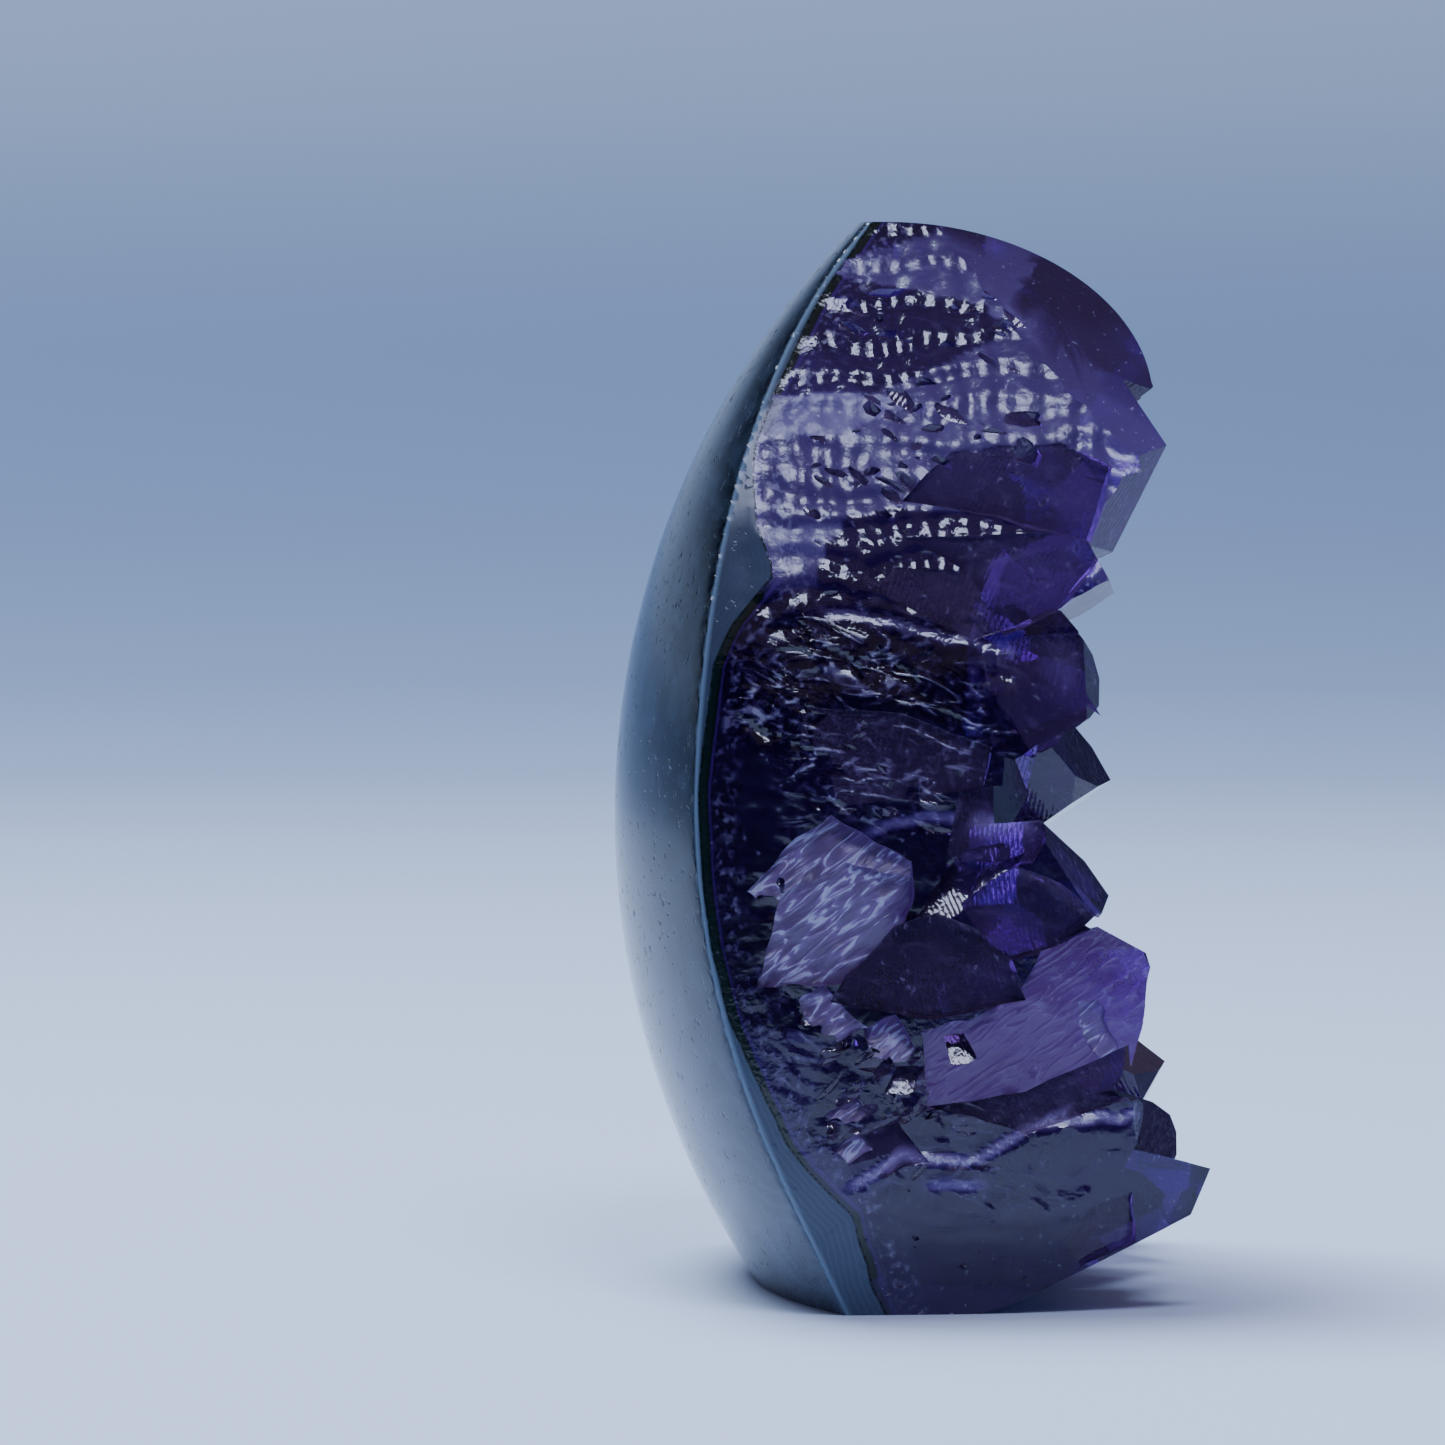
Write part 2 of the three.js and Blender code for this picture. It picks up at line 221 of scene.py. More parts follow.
class DruzyShape(bpy.types.PropertyGroup):
    """Sizes of the stone."""

    dome_radius: FloatProperty(
        name="Dome radius", description="Radius of the sphere that the rind is ground to",
        default=0.0536, unit="LENGTH",
    )
    groove: FloatProperty(
        name="Groove", description="How far below the tips the solid wall lies",
        default=0.007, unit="LENGTH",
    )
    large_seed: IntProperty(
        name="Large crystals", description="Seed of the large crystals in the hollow", default=4711
    )
    small_seed: IntProperty(
        name="Small crystals", description="Seed of the small crystals in the hollow", default=815
    )
    pit_seed: IntProperty(
        name="Breaks and pits", description="Seed of the breaks and pits in the ground sides", default=37
    )


class DruzyFinish(bpy.types.PropertyGroup):
    """Colours of the stone."""

    violet: FloatVectorProperty(
        name="Violet", description="What the amethyst lets through, as sRGB",
        default=(0.75, 0.0, 0.81), subtype="COLOR",
    )
    depth_of_colour: FloatProperty(
        name="Depth of colour", description="Absorption of the amethyst per metre", default=450
    )
    milk: FloatVectorProperty(
        name="Milky quartz", description="Breaks and bruises of the amethyst, as sRGB",
        default=(0.66, 0.37, 0.83), subtype="COLOR",
    )


class DruzyStudio(bpy.types.PropertyGroup):
    """Floor, light and camera."""

    key_power: FloatProperty(
        name="Key light", description="Power of the soft light over the -X side",
        default=1.5, unit="POWER",
    )
    fill_power: FloatProperty(
        name="Overhead light", description="Power of the large soft light overhead",
        default=21, unit="POWER",
    )
    focal_length: FloatProperty(
        name="Focal length", description="Focal length of the camera", default=195.9, unit="CAMERA"
    )
    camera_distance: FloatProperty(
        name="Camera distance", description="From the camera to the point it aims at",
        default=0.5, unit="LENGTH",
    )


# ---- small tools ----------------------------------------------------------------------------------


def colour(hex_or_rgb, alpha=1.0):
    """An sRGB colour, as a hex number or three shares, turned to linear."""
    if isinstance(hex_or_rgb, int):
        hex_or_rgb = [((hex_or_rgb >> shift) & 255) / 255 for shift in (16, 8, 0)]
    linear = [c / 12.92 if c <= 0.04045 else ((c + 0.055) / 1.055) ** 2.4 for c in hex_or_rgb]
    return (*linear, alpha)


def reading(table, at):
    """The value between the entries of a table of (place, value) at a place."""
    if at <= table[0][0]:
        return table[0][1]
    for (a, low), (b, high) in zip(table, table[1:]):
        if at <= b:
            return low + (high - low) * (at - a) / (b - a)
    return table[-1][1]


def eased(low, high, at):
    """0 below low, 1 above high, and smooth between."""
    share = min(max((at - low) / (high - low), 0.0), 1.0)
    return share * share * (3 - 2 * share)


def curve_through(points, steps):
    """Points along the smooth curve through some points, the same number of steps between each pair."""
    ends = [points[0], *points, points[-1]]
    line = []
    for a, b, c, d in zip(ends, ends[1:], ends[2:], ends[3:]):
        for step in range(steps):
            t = step / steps
            line.append(
                b
                + (c - a) * (0.5 * t)
                + (a - b * 2.5 + c * 2 - d * 0.5) * t**2
                + (b * 1.5 - a * 0.5 - c * 1.5 + d * 0.5) * t**3
            )
    line.append(points[-1])
    return line


def evenly(line, step):
    """The same line as points about one step apart."""
    run = [0.0]
    for a, b in zip(line, line[1:]):
        run.append(run[-1] + (b - a).length)
    count = max(1, round(run[-1] / step))
    spaced = []
    at = 0
    for i in range(count + 1):
        want = run[-1] * i / count
        while at < len(run) - 2 and run[at + 1] < want:
            at += 1
        share = (want - run[at]) / (run[at + 1] - run[at])
        spaced.append(line[at].lerp(line[at + 1], share))
    return spaced


class Chance:
    """Repeatable random numbers: a seed gives the same stone on every run."""

    def __init__(self, seed):
        self.seed = seed

    def draw(self):
        self.seed = (self.seed * 16807) % 2147483647
        return self.seed / 2147483647

    def vary(self, amount):
        return (2 * self.draw() - 1) * amount

    def between(self, low, high):
        return low + (high - low) * self.draw()


ARCH_LINE = [(p.y, p.x) for p in curve_through([Vector(p) for p in ARCH], 8)]

# ---- solids ---------------------------------------------------------------------------------------


def taken_from(mesh):
    """A bmesh of a mesh."""
    bm = bmesh.new()
    bm.from_mesh(mesh)
    return bm


def give_back(bm, mesh):
    """Writes a bmesh to a mesh and frees it."""
    bm.to_mesh(mesh)
    bm.free()


def solid(name, bm, made=None):
    """A closed mesh as an object whose faces remember how they were made."""
    mesh = bpy.data.meshes.new(name)
    give_back(bm, mesh)
    if made is not None:
        faces = mesh.attributes.new("made", "FLOAT", "FACE")
        faces.data.foreach_set("value", [made] * len(mesh.polygons))
    return bpy.data.objects.new(name, mesh)


def combine(base, others, operation):
    """One solid with others joined, cut away or kept in common. The others are used up."""
    bench, tools = (bpy.data.collections.new(name) for name in ("bench", "tools"))
    bpy.context.scene.collection.children.link(bench)
    bench.children.link(tools)
    bench.objects.link(base)
    for other in others:
        tools.objects.link(other)
    step = base.modifiers.new(operation.lower(), "BOOLEAN")
    step.operation = operation
    step.solver = "MANIFOLD"
    if len(others) == 1:
        step.object = others[0]
    else:
        step.operand_type = "COLLECTION"
        step.collection = tools
    depsgraph = bpy.context.evaluated_depsgraph_get()
    depsgraph.update()
    mesh = bpy.data.meshes.new_from_object(base.evaluated_get(depsgraph))
    if not mesh.polygons:
        raise RuntimeError(f"nothing is left after {operation.lower()} on {base.name}")
    result = bpy.data.objects.new(base.name, mesh)
    for used in (base, *others):
        bpy.data.objects.remove(used)
    for emptied in (tools, bench):
        bpy.data.collections.remove(emptied)
    return result


def cut_away(bm, point, normal):
    """Cuts off what lies beyond a plane and closes the cut."""
    everything = bm.verts[:] + bm.edges[:] + bm.faces[:]
    cut = bmesh.ops.bisect_plane(
        bm, geom=everything, dist=1e-5, plane_co=point, plane_no=normal, clear_outer=True
    )
    rim = [g for g in cut["geom_cut"] if isinstance(g, bmesh.types.BMEdge)]
    if rim:
        bmesh.ops.holes_fill(bm, edges=rim)


def grid_block(rows):
    """A cube from 0 to 1 on each axis, cut into this many rows along each."""
    bm = bmesh.new()
    bmesh.ops.create_cube(bm, size=1, matrix=Matrix.Translation((0.5, 0.5, 0.5)))
    for axis, count in enumerate(rows):
        along = [e for e in bm.edges if abs(e.verts[0].co[axis] - e.verts[1].co[axis]) > 0.5]
        if count > 1:
            bmesh.ops.subdivide_edges(bm, edges=along, cuts=count - 1, use_grid_fill=True)
    return bm


def side_block():
    """The pointed arch drawn through the stone from front to back, its sides barrelled."""
    arch = curve_through([Vector(p) for p in ARCH], 24)
    line = evenly([Vector((ARCH[0][0], -2)), *arch], GRID_STEP)
    depth_rows = round((BACK - FRONT) / GRID_STEP)
    bm = grid_block((4, depth_rows, len(line) - 1))
    for v in bm.verts:
        half, height = line[round(v.co.z * (len(line) - 1))]
        y = FRONT + (BACK - FRONT) * v.co.y
        run = (y - BARREL_MIDDLE) / BARREL_RUN
        drawn_in = 1 - BARREL_SHARE * run * run
        v.co = ((2 * v.co.x - 1) * min(half, WIDEST) * drawn_in, y, height)
    return solid("sides", bm, GROUND)


def underside(y):
    """Height of the underside: flat, then rising in a bend to a slope."""
    end = 2 * TOE_BEND - TOE_Y
    if y >= TOE_Y:
        return 0
    if y > end:
        return (TOE_BEND - end) * TOE_SLOPE * ((TOE_Y - y) / (TOE_Y - end)) ** 2
    return (TOE_BEND - y) * TOE_SLOPE


def top_line():
    """The crest from front to back as points (y, z)."""
    tip = CREST_Y - CREST_RUN
    slope = (CREST_Z - CREST_FRONT_Z) / (tip + 40)
    line = [Vector((FRONT, CREST_FRONT_Z + (FRONT + 40) * slope))]
    for step in range(61):
        turn = math.radians(90 * step / 60)
        line.append(
            Vector((CREST_Y - CREST_RUN * math.cos(turn), CREST_Z + CREST_RISE * math.sin(turn)))
        )
    line.append(Vector((BACK, CREST_Z + CREST_RISE)))
    return evenly(line, 0.5)


def profile_block():
    """The side outline drawn across the stone."""
    line = top_line()
    half = WIDEST + 3
    bm = grid_block((48, len(line) - 1, 1))
    for v in bm.verts:
        y, top = line[round(v.co.y * (len(line) - 1))]
        v.co = ((2 * v.co.x - 1) * half, y, top if v.co.z > 0.5 else underside(y))
    return solid("profile", bm, GROUND)


def ball(centre, radii, made, fineness):
    """An ellipsoid."""
    bm = bmesh.new()
    bmesh.ops.create_icosphere(bm, subdivisions=fineness, radius=1)
    bmesh.ops.scale(bm, verts=bm.verts, vec=radii)
    bmesh.ops.translate(bm, verts=bm.verts, vec=centre)
    return solid("ball", bm, made)


def agate_depth(point):
    """How thick the agate is under a point of the dome, in millimetres."""
    wave = noise.noise(point * 0.16) * 0.5 + noise.noise(point * 0.5) * 0.16
    thick = reading(AGATE, point.z + 1.2 * noise.noise(point * 0.2))
    return max(0.22, thick * (1 + 0.4 * wave) + 0.25 * wave)


def geode_wall(radius, grown=0):
    """The solid inside the agate: its surface is where the crystals start to grow."""
    bm = bmesh.new()
    bmesh.ops.create_icosphere(bm, subdivisions=7, radius=1)
    for v in bm.verts:
        out = v.co.normalized()
        depth = agate_depth(DOME_CENTRE + out * radius)
        v.co = DOME_CENTRE + out * (radius - depth + grown)
    return solid("geode_wall", bm, GROWN)


# ---- crystals -------------------------------------------------------------------------------------


def tip_at(across, up):
    """The point of the hollow at these angles, in degrees."""
    across, up = math.radians(across), math.radians(up)
    out = Vector((math.cos(up) * math.sin(across), math.cos(up) * math.cos(across), math.sin(up)))
    return HOLLOW_CENTRE + out * HOLLOW_RADII


def growth(tip):
    """The way a crystal points whose tip is there."""
    off = tip - HOLLOW_CENTRE
    way = Vector((-LEAN_ACROSS * off.x, -off.y, -LEAN_UP * off.z))
    return Vector(w / r**2 for w, r in zip(way, HOLLOW_RADII)).normalized()


def crystal(tip, axis, width, roll, set_back, broken):
    """A quartz crystal cut from a block, face by face: six sides, six end faces and a broken tip."""
    bm = bmesh.new()
    bmesh.ops.create_cube(bm, size=2)
    bmesh.ops.scale(bm, verts=bm.verts, vec=(width, width, CRYSTAL_LENGTH))
    for k in range(6):
        turn = roll + k * math.pi / 3
        out = Vector((math.cos(turn), math.sin(turn), 0))
        apothem = width / 2 * (1 + UNEVEN * math.cos(2.4 * k + 5 * roll))
        cut_away(bm, out * apothem, out)
        end = out * math.cos(RHOMB_ANGLE) + Vector((0, 0, math.sin(RHOMB_ANGLE)))
        cut_away(bm, end * (set_back * width if k % 2 else 0), end)
    if broken:
        across = Vector((math.sin(BREAK_TILT), 0, math.cos(BREAK_TILT)))
        cut_away(bm, across * -broken, across)
    turn = Vector((0, 0, 1)).rotation_difference(axis).to_matrix().to_4x4()
    bmesh.ops.transform(bm, matrix=Matrix.Translation(tip) @ turn, verts=bm.verts)
    return solid("crystal", bm, GROWN)


def rim_crystals():
    """The large crystals round the rim of the hollow, as (tip, axis, width, roll, set-back, broken)."""
    forms = []
    for x, y, z, width, degrees, broken, lift in RIM:
        tip = Vector((x, y, z))
        axis = Matrix.Rotation(math.radians(-lift), 3, "X") @ growth(tip)
        forms.append((tip, axis, width, math.radians(degrees), RIM_SET_BACK, broken))
    return forms


def crystal_field(size, seed, taken):
    """Crystals all over the hollow, row by row, wherever there is room between those taken."""
    chance = Chance(seed)
    forms = []
    up, row = SPREAD_LOW, 0
    while up <= SPREAD_HIGH:
        across = (size["across"] / 2 if row % 2 else 0) - SPREAD_HALF
        while across <= SPREAD_HALF:
            tip = tip_at(across + chance.vary(SPREAD_WANDER), up + chance.vary(SPREAD_WANDER))
            stray = Vector((chance.vary(LEAN_WANDER), 0, chance.vary(LEAN_WANDER)))
            axis = (growth(tip) + stray).normalized()
            width = chance.between(*size["width"])
            roll = chance.draw() * math.pi
            set_back = chance.between(*SET_BACK)
            tip -= axis * chance.between(*size["depth"])
            if all((other[0] - tip).length > size["room"] for other in taken):
                forms.append((tip, axis, width, roll, set_back, 0))
            across += size["across"]
        up += size["up"]
        row += 1
    return forms


def druse(shape):
    """All the crystals grown together."""
    rim = rim_crystals()
    large = rim + crystal_field(LARGE, shape.large_seed, rim)
    forms = large + crystal_field(SMALL, shape.small_seed, large)
    first, *rest = [crystal(*form) for form in forms]
    return combine(first, rest, "UNION")


# ---- breaks and relief in the ground sides --------------------------------------------------------


def side_x(y, z):
    """Half the ground stone's width at a place."""
    run = (y - BARREL_MIDDLE) / BARREL_RUN
    return min(reading(ARCH_LINE, z), WIDEST) * (1 - BARREL_SHARE * run * run)


def recess(side, made, sunk, forward, upward, outline, chance):
    """A block whose inner end is a sunk face, to be cut out of one side of the stone.

    A grown face is flat. A break is rippled in rings round the point that was struck, and its outline
    is ragged. The edge all round is a narrow break that flares outwards.
    """
    count = len(outline)
    y0, z0 = (sum(p[i] for p in outline) / count for i in (0, 1))
    half = side_x(y0, z0)
    along_y = side_x(y0 + 0.5, z0) - side_x(y0 - 0.5, z0)
    along_z = side_x(y0, z0 + 0.5) - side_x(y0, z0 - 0.5)

    def level(y, z):
        return half + (along_y + forward) * (y - y0) + (along_z - upward) * (z - z0) - sunk

    bm = bmesh.new()
    layer = bm.faces.layers.float.new("made")
    corners = [bm.verts.new((level(y, z), y, z)) for y, z in outline]
    bm.faces.new(corners)
    bmesh.ops.triangulate(bm, faces=bm.faces[:])
    bmesh.ops.subdivide_edges(bm, edges=bm.edges[:], cuts=3 if made == GROWN else 11, use_grid_fill=True)
    struck = Vector((half, y0 + 6 + chance.vary(1), z0 - 7))
    for v in bm.verts:
        off = v.co - struck
        ring = math.sin(1.9 * off.length + 2 * noise.noise(v.co * 0.4))
        hackle = noise.noise(Vector((9 * math.atan2(off.y, off.z), 0.12 * off.length, z0)))
        rough = noise.noise(v.co * 0.6)
        v.co.x += RIPPLED[made] * (0.3 * ring + 1.2 * hackle + 0.8 * rough)
        if v.is_boundary:
            v.co.y += RAGGED[made] * noise.noise(v.co * 0.7)
            v.co.z += RAGGED[made] * noise.noise(v.co * 0.7 + Vector((7, 0, 0)))
    grown = bmesh.ops.extrude_face_region(bm, geom=bm.faces[:])
    outer = [g for g in grown["geom"] if isinstance(g, bmesh.types.BMVert)]
    bmesh.ops.translate(bm, verts=outer, vec=(OUTWARD, 0, 0))
    for v in outer:
        away = Vector((0, v.co.y - y0, v.co.z - z0))
        v.co += away.normalized() * OUTWARD * BREAK_FLARE
    if side < 0:
        bmesh.ops.scale(bm, verts=bm.verts, vec=(-1, 1, 1))
    bmesh.ops.recalc_face_normals(bm, faces=bm.faces)
    for f in bm.faces:
        f[layer] = made if abs(f.normal.x) > 0.6 or made == GROWN else BROKEN
    return solid("recess", bm)


def recesses(shape):
    """The sunk faces and breaks of both sides."""
    chance = Chance(shape.pit_seed)
    blocks = [recess(-1, *values, chance) for values in RECESSES]
    for _ in range(SCATTERED["count"]):
        y, z = (m + chance.vary(s) for m, s in zip(SCATTERED["middle"], SCATTERED["spread"]))
        size = chance.between(*SCATTERED["size"])
        sunk = chance.between(*SCATTERED["sunk"])
        forward, upward = (chance.vary(slope) for slope in SCATTERED_SLOPES)
        made = BROKEN if chance.draw() < SCATTERED_BREAKS else GROWN
        corners = 5 + int(chance.draw() * 3)
        turns = [math.tau * (k + chance.vary(0.25)) / corners for k in range(corners)]
        reach = [size * chance.between(0.7, 1.1) for _ in turns]
        outline = [
            (y + r * math.cos(turn), z + SCATTERED_LOW * r * math.sin(turn)) for r, turn in zip(reach, turns)
        ]
        blocks.append(recess(1, made, sunk, forward, upward, outline, chance))
    return blocks


def pits(shape):
    """Angular hollows where the ground sides cross gaps between crystals, on both sides."""
    chance = Chance(shape.pit_seed)
    holes = []
    for side in (-1, 1):
        for middle, spread, count, length, slope in PIT_FIELDS:
            for _ in range(count):
                y, z = (m + chance.vary(s) for m, s in zip(middle, spread))
                long = chance.between(*length)
                bm = bmesh.new()
                bmesh.ops.create_icosphere(bm, subdivisions=1, radius=0.5)
                for v in bm.verts:
                    v.co *= 1 + chance.vary(0.35)
                short = long * chance.between(0.22, 0.5)
                deep = min(1.1, short * chance.between(0.5, 1.1))
                bmesh.ops.scale(bm, verts=bm.verts, vec=(deep, long, short))
                lean = math.radians(-slope + chance.vary(25))
                place = (
                    Matrix.Translation((side * side_x(y, z), y, z))
                    @ Matrix.Rotation(lean, 4, "X")
                    @ Matrix.Rotation(chance.vary(0.5), 4, "Z")
                )
                bmesh.ops.transform(bm, matrix=place, verts=bm.verts)
                holes.append(solid("pit", bm, GROWN))
    return holes


def ledges(y, z):
    """How far the ledges sink a place of the sides, and whether it is on their split edge."""
    drop, split = 0, 0
    for depth, bevel, reach, whiteness, line in LEDGES:
        back, front = line[0][0], line[-1][0]
        if not front < y < back:
            continue
        level = reading([(-p[0], p[1]) for p in line], -y)
        level += 0.3 * noise.noise(Vector((reach, y * 0.7, 0)))
        above = z - level
        ends = eased(0, 1.5, back - y) * eased(0, 2, y - front)
        if 0 < above < reach:
            hollow = above / bevel if above < bevel else (1 - (above - bevel) / (reach - bevel)) ** 2
            drop = max(drop, depth * ends * hollow)
        # The split edge is painted white: partly a white crack, partly a painted highlight where the edge
        # would catch the light.
        split = max(split, whiteness * ends * (1 - eased(0.1, 0.5, abs(above - bevel / 2))))
    return drop, split


def flaking(place):
    """How far flakes sink a place of the ground sides, and how white they leave it."""
    sunk, white = 0, 0
    run = Vector((place.y, place.z)).dot(FLAKE_RUN)
    across = Vector((place.y, place.z)).dot(FLAKE_RUN.orthogonal())
    for middle, spread, size, slope, whiteness in FLAKES:
        off = math.hypot((place.y - middle[0]) / spread[0], (place.z - middle[1]) / spread[1])
        share = 1 - eased(0.6, 1.1, off + 0.35 * noise.noise(place * 0.25))
        if share <= 0:
            continue
        at = Vector((run * FLAKE_STRETCH, across, place.x)) / size
        at += 0.3 * noise.noise_vector(at * 1.7)
        apart, hearts = noise.voronoi(at)
        heart, gap = hearts[0], apart[1] - apart[0]
        tilt = noise.cell_vector(heart * 53) - Vector((0.5, 0.5, 0.5))
        off_heart = at - heart
        floor = 0.4 + 2.2 * (tilt.x * off_heart.x + tilt.y * off_heart.y) + 0.35 * tilt.z
        sunk = max(sunk, share * slope * size * max(0, floor))
        edge = 1 - eased(0.0, 0.16, gap)
        white = max(white, share * whiteness * (FLAKE_HAZE + (1 - FLAKE_HAZE) * edge))
    return sunk, white


def dimple(place):
    """How far the even dimples of the polish sink a place."""
    share = eased(DIMPLES_FROM, DIMPLES_FULL, place.z + 2 * noise.noise(place * 0.3))
    if share <= 0:
        return 0
    share *= 1 if place.x < 0 else DIMPLES_PLUS_X
    wander = noise.noise_vector(place * 0.22)
    turn = math.tau / DIMPLE_SPACING
    waves = math.cos(turn * (place.y + wander.y)) + math.cos(turn * (place.z + wander.z))
    return share * DIMPLE_DEPTH * (1 + waves) / 2


def on_side(place):
    """Whether a place lies on one of the ground sides."""
    return abs(abs(place.x) - side_x(place.y, place.z)) < ON_FACE


def wear_sides(body, radius):
    """Rounds the rim of the dome a little, and leaves ledges, flakes, dimples and faint waves."""
    bm = taken_from(body.data)
    rim = set()
    for e in bm.edges:
        if e.calc_face_angle(0) < RIM_ANGLE:
            continue
        if all(v.co.z > CLEAR_OF_BASE and on_side(v.co) for v in e.verts):
            rim.update(v for v in e.verts if abs((v.co - DOME_CENTRE).length - radius) < ON_FACE)
    worn = []
    for v in bm.verts:
        if not on_side(v.co) or v.co.z < CLEAR_OF_BASE:
            continue
        out = v.co - DOME_CENTRE
        inside = radius - out.length
        past_agate = inside - agate_depth(DOME_CENTRE + out.normalized() * radius)
        lean = min(AGATE_LEAN * max(0, -past_agate), AGATE_LOWER)
        lean *= eased(CLEAR_OF_BASE, 2, v.co.z) * eased(-0.2, 2.2, inside)
        waves = 0.05 * (0.5 + 0.5 * noise.noise(v.co * 0.35))
        grain = max(0.0, noise.noise(Vector((v.co.x, v.co.y * 0.6, v.co.z * 1.3)) * 0.9)) * 0.07
        sunk = waves + grain + ledges(v.co.y, v.co.z)[0] + flaking(v.co)[0]
        dimples = dimple(v.co) * eased(-0.4, 1.2, past_agate)
        worn.append((v, lean + dimples + sunk * eased(0.4, 2.2, inside)))
    for v, sunk in worn:
        v.co.x -= math.copysign(sunk, v.co.x)
    for _ in range(4):
        bmesh.ops.smooth_vert(
            bm, verts=list(rim), factor=0.5, use_axis_x=True, use_axis_y=True, use_axis_z=True
        )
    give_back(bm, body.data)


KEPT = {}


def ground_body(shape):
    """The stone's ground outside, made once and then handed out as copies."""
    key = (shape.dome_radius, shape.pit_seed)
    if key not in KEPT:
        KEPT[key] = make_ground_body(shape)
    return bpy.data.objects.new("ground_body", KEPT[key].data.copy())


def make_ground_body(shape):
    """Dome, sides, crest and base, with what is broken out of them."""
    radius = shape.dome_radius / MM
    body = combine(side_block(), [profile_block()], "INTERSECT")
    body = combine(body, [ball(DOME_CENTRE, (radius,) * 3, GROUND, 7)], "INTERSECT")
    wear_sides(body, radius)
    bm = taken_from(body.data)
    a, b, c = CREST_FACET
    normal = (b - a).cross(c - a).normalized()
    cut_away(bm, a, normal if normal.x < 0 else -normal)
    give_back(bm, body.data)
    return combine(body, recesses(shape) + pits(shape), "DIFFERENCE")


# ---- materials ------------------------------------------------------------------------------------

# Colours of the amethyst where it is ground, as grown and frosted, and of the skin where it starts.
GROUND_VIOLET, GROWN_VIOLET, FROST, GREEN_SKIN = 0x6E1CC0, 0xBA88EA, 0xC8C4EC, 0x0E1E1E
# The agate: the slate of the upper dome, and what it turns to: at the base, a painted reflection of the
# pale floor; in smudges and mottles; where the sides cut it; in its bands; and on the worn rim, a painted
# highlight.
SLATE, FLOOR_REFLECTION_SLATE, SMUDGE, MOTTLE = 0x06080E, 0x4A546A, 0x10151E, 0x4C6078
CUT_SLATE, BAND, RIM_HIGHLIGHT = 0x444E64, 0x8FA9C2, 0x9DBCD6
# The floor near the stone, and the painted shade and light it turns to further out (from, to, colour), in
# metres, and the painted shade of the -X side.
COTTON = 0xDCE9FF
COTTON_PAINTED_FALLOFF = ((0.05, 0.85, 0x8095B8), (0.85, 1.05, 0xACBCD2), (1.1, 1.35, 0x4C5870))
COTTON_PAINTED_SHADE = 0x20252E
QUARTZ_IOR, CHALCEDONY_IOR = 1.544, 1.54
# Turns of the growth lines and of the agate's bands, in radians per millimetre: 0.3 and 0.35 mm apart.
GROWTH_LINES, AGATE_BANDS = 21, 18


def add(tree, kind, inputs=(), **settings):
    """Adds a node. Its inputs go by name or number, or in order: a node or a socket is linked."""
    made = tree.nodes.new("ShaderNode" + kind)
    for name, value in settings.items():
        setattr(made, name, value)
    for name, value in (inputs if isinstance(inputs, dict) else dict(enumerate(inputs))).items():
        if isinstance(value, bpy.types.Node):
            value = next(socket for socket in value.outputs if socket.enabled)
        if isinstance(value, bpy.types.NodeSocket):
            tree.links.new(value, made.inputs[name])
        else:
            made.inputs[name].default_value = value
    return made


def blank(name):
    """A new material and its empty tree."""
    material = bpy.data.materials.new(name)
    material.use_nodes = True
    material.node_tree.nodes.clear()
    return material, material.node_tree


def in_mm(tree):
    """Object coordinates in millimetres."""
    place = add(tree, "TexCoord").outputs["Object"]
    return add(tree, "VectorMath", {0: place, "Scale": 1 / MM}, operation="SCALE").outputs[0]


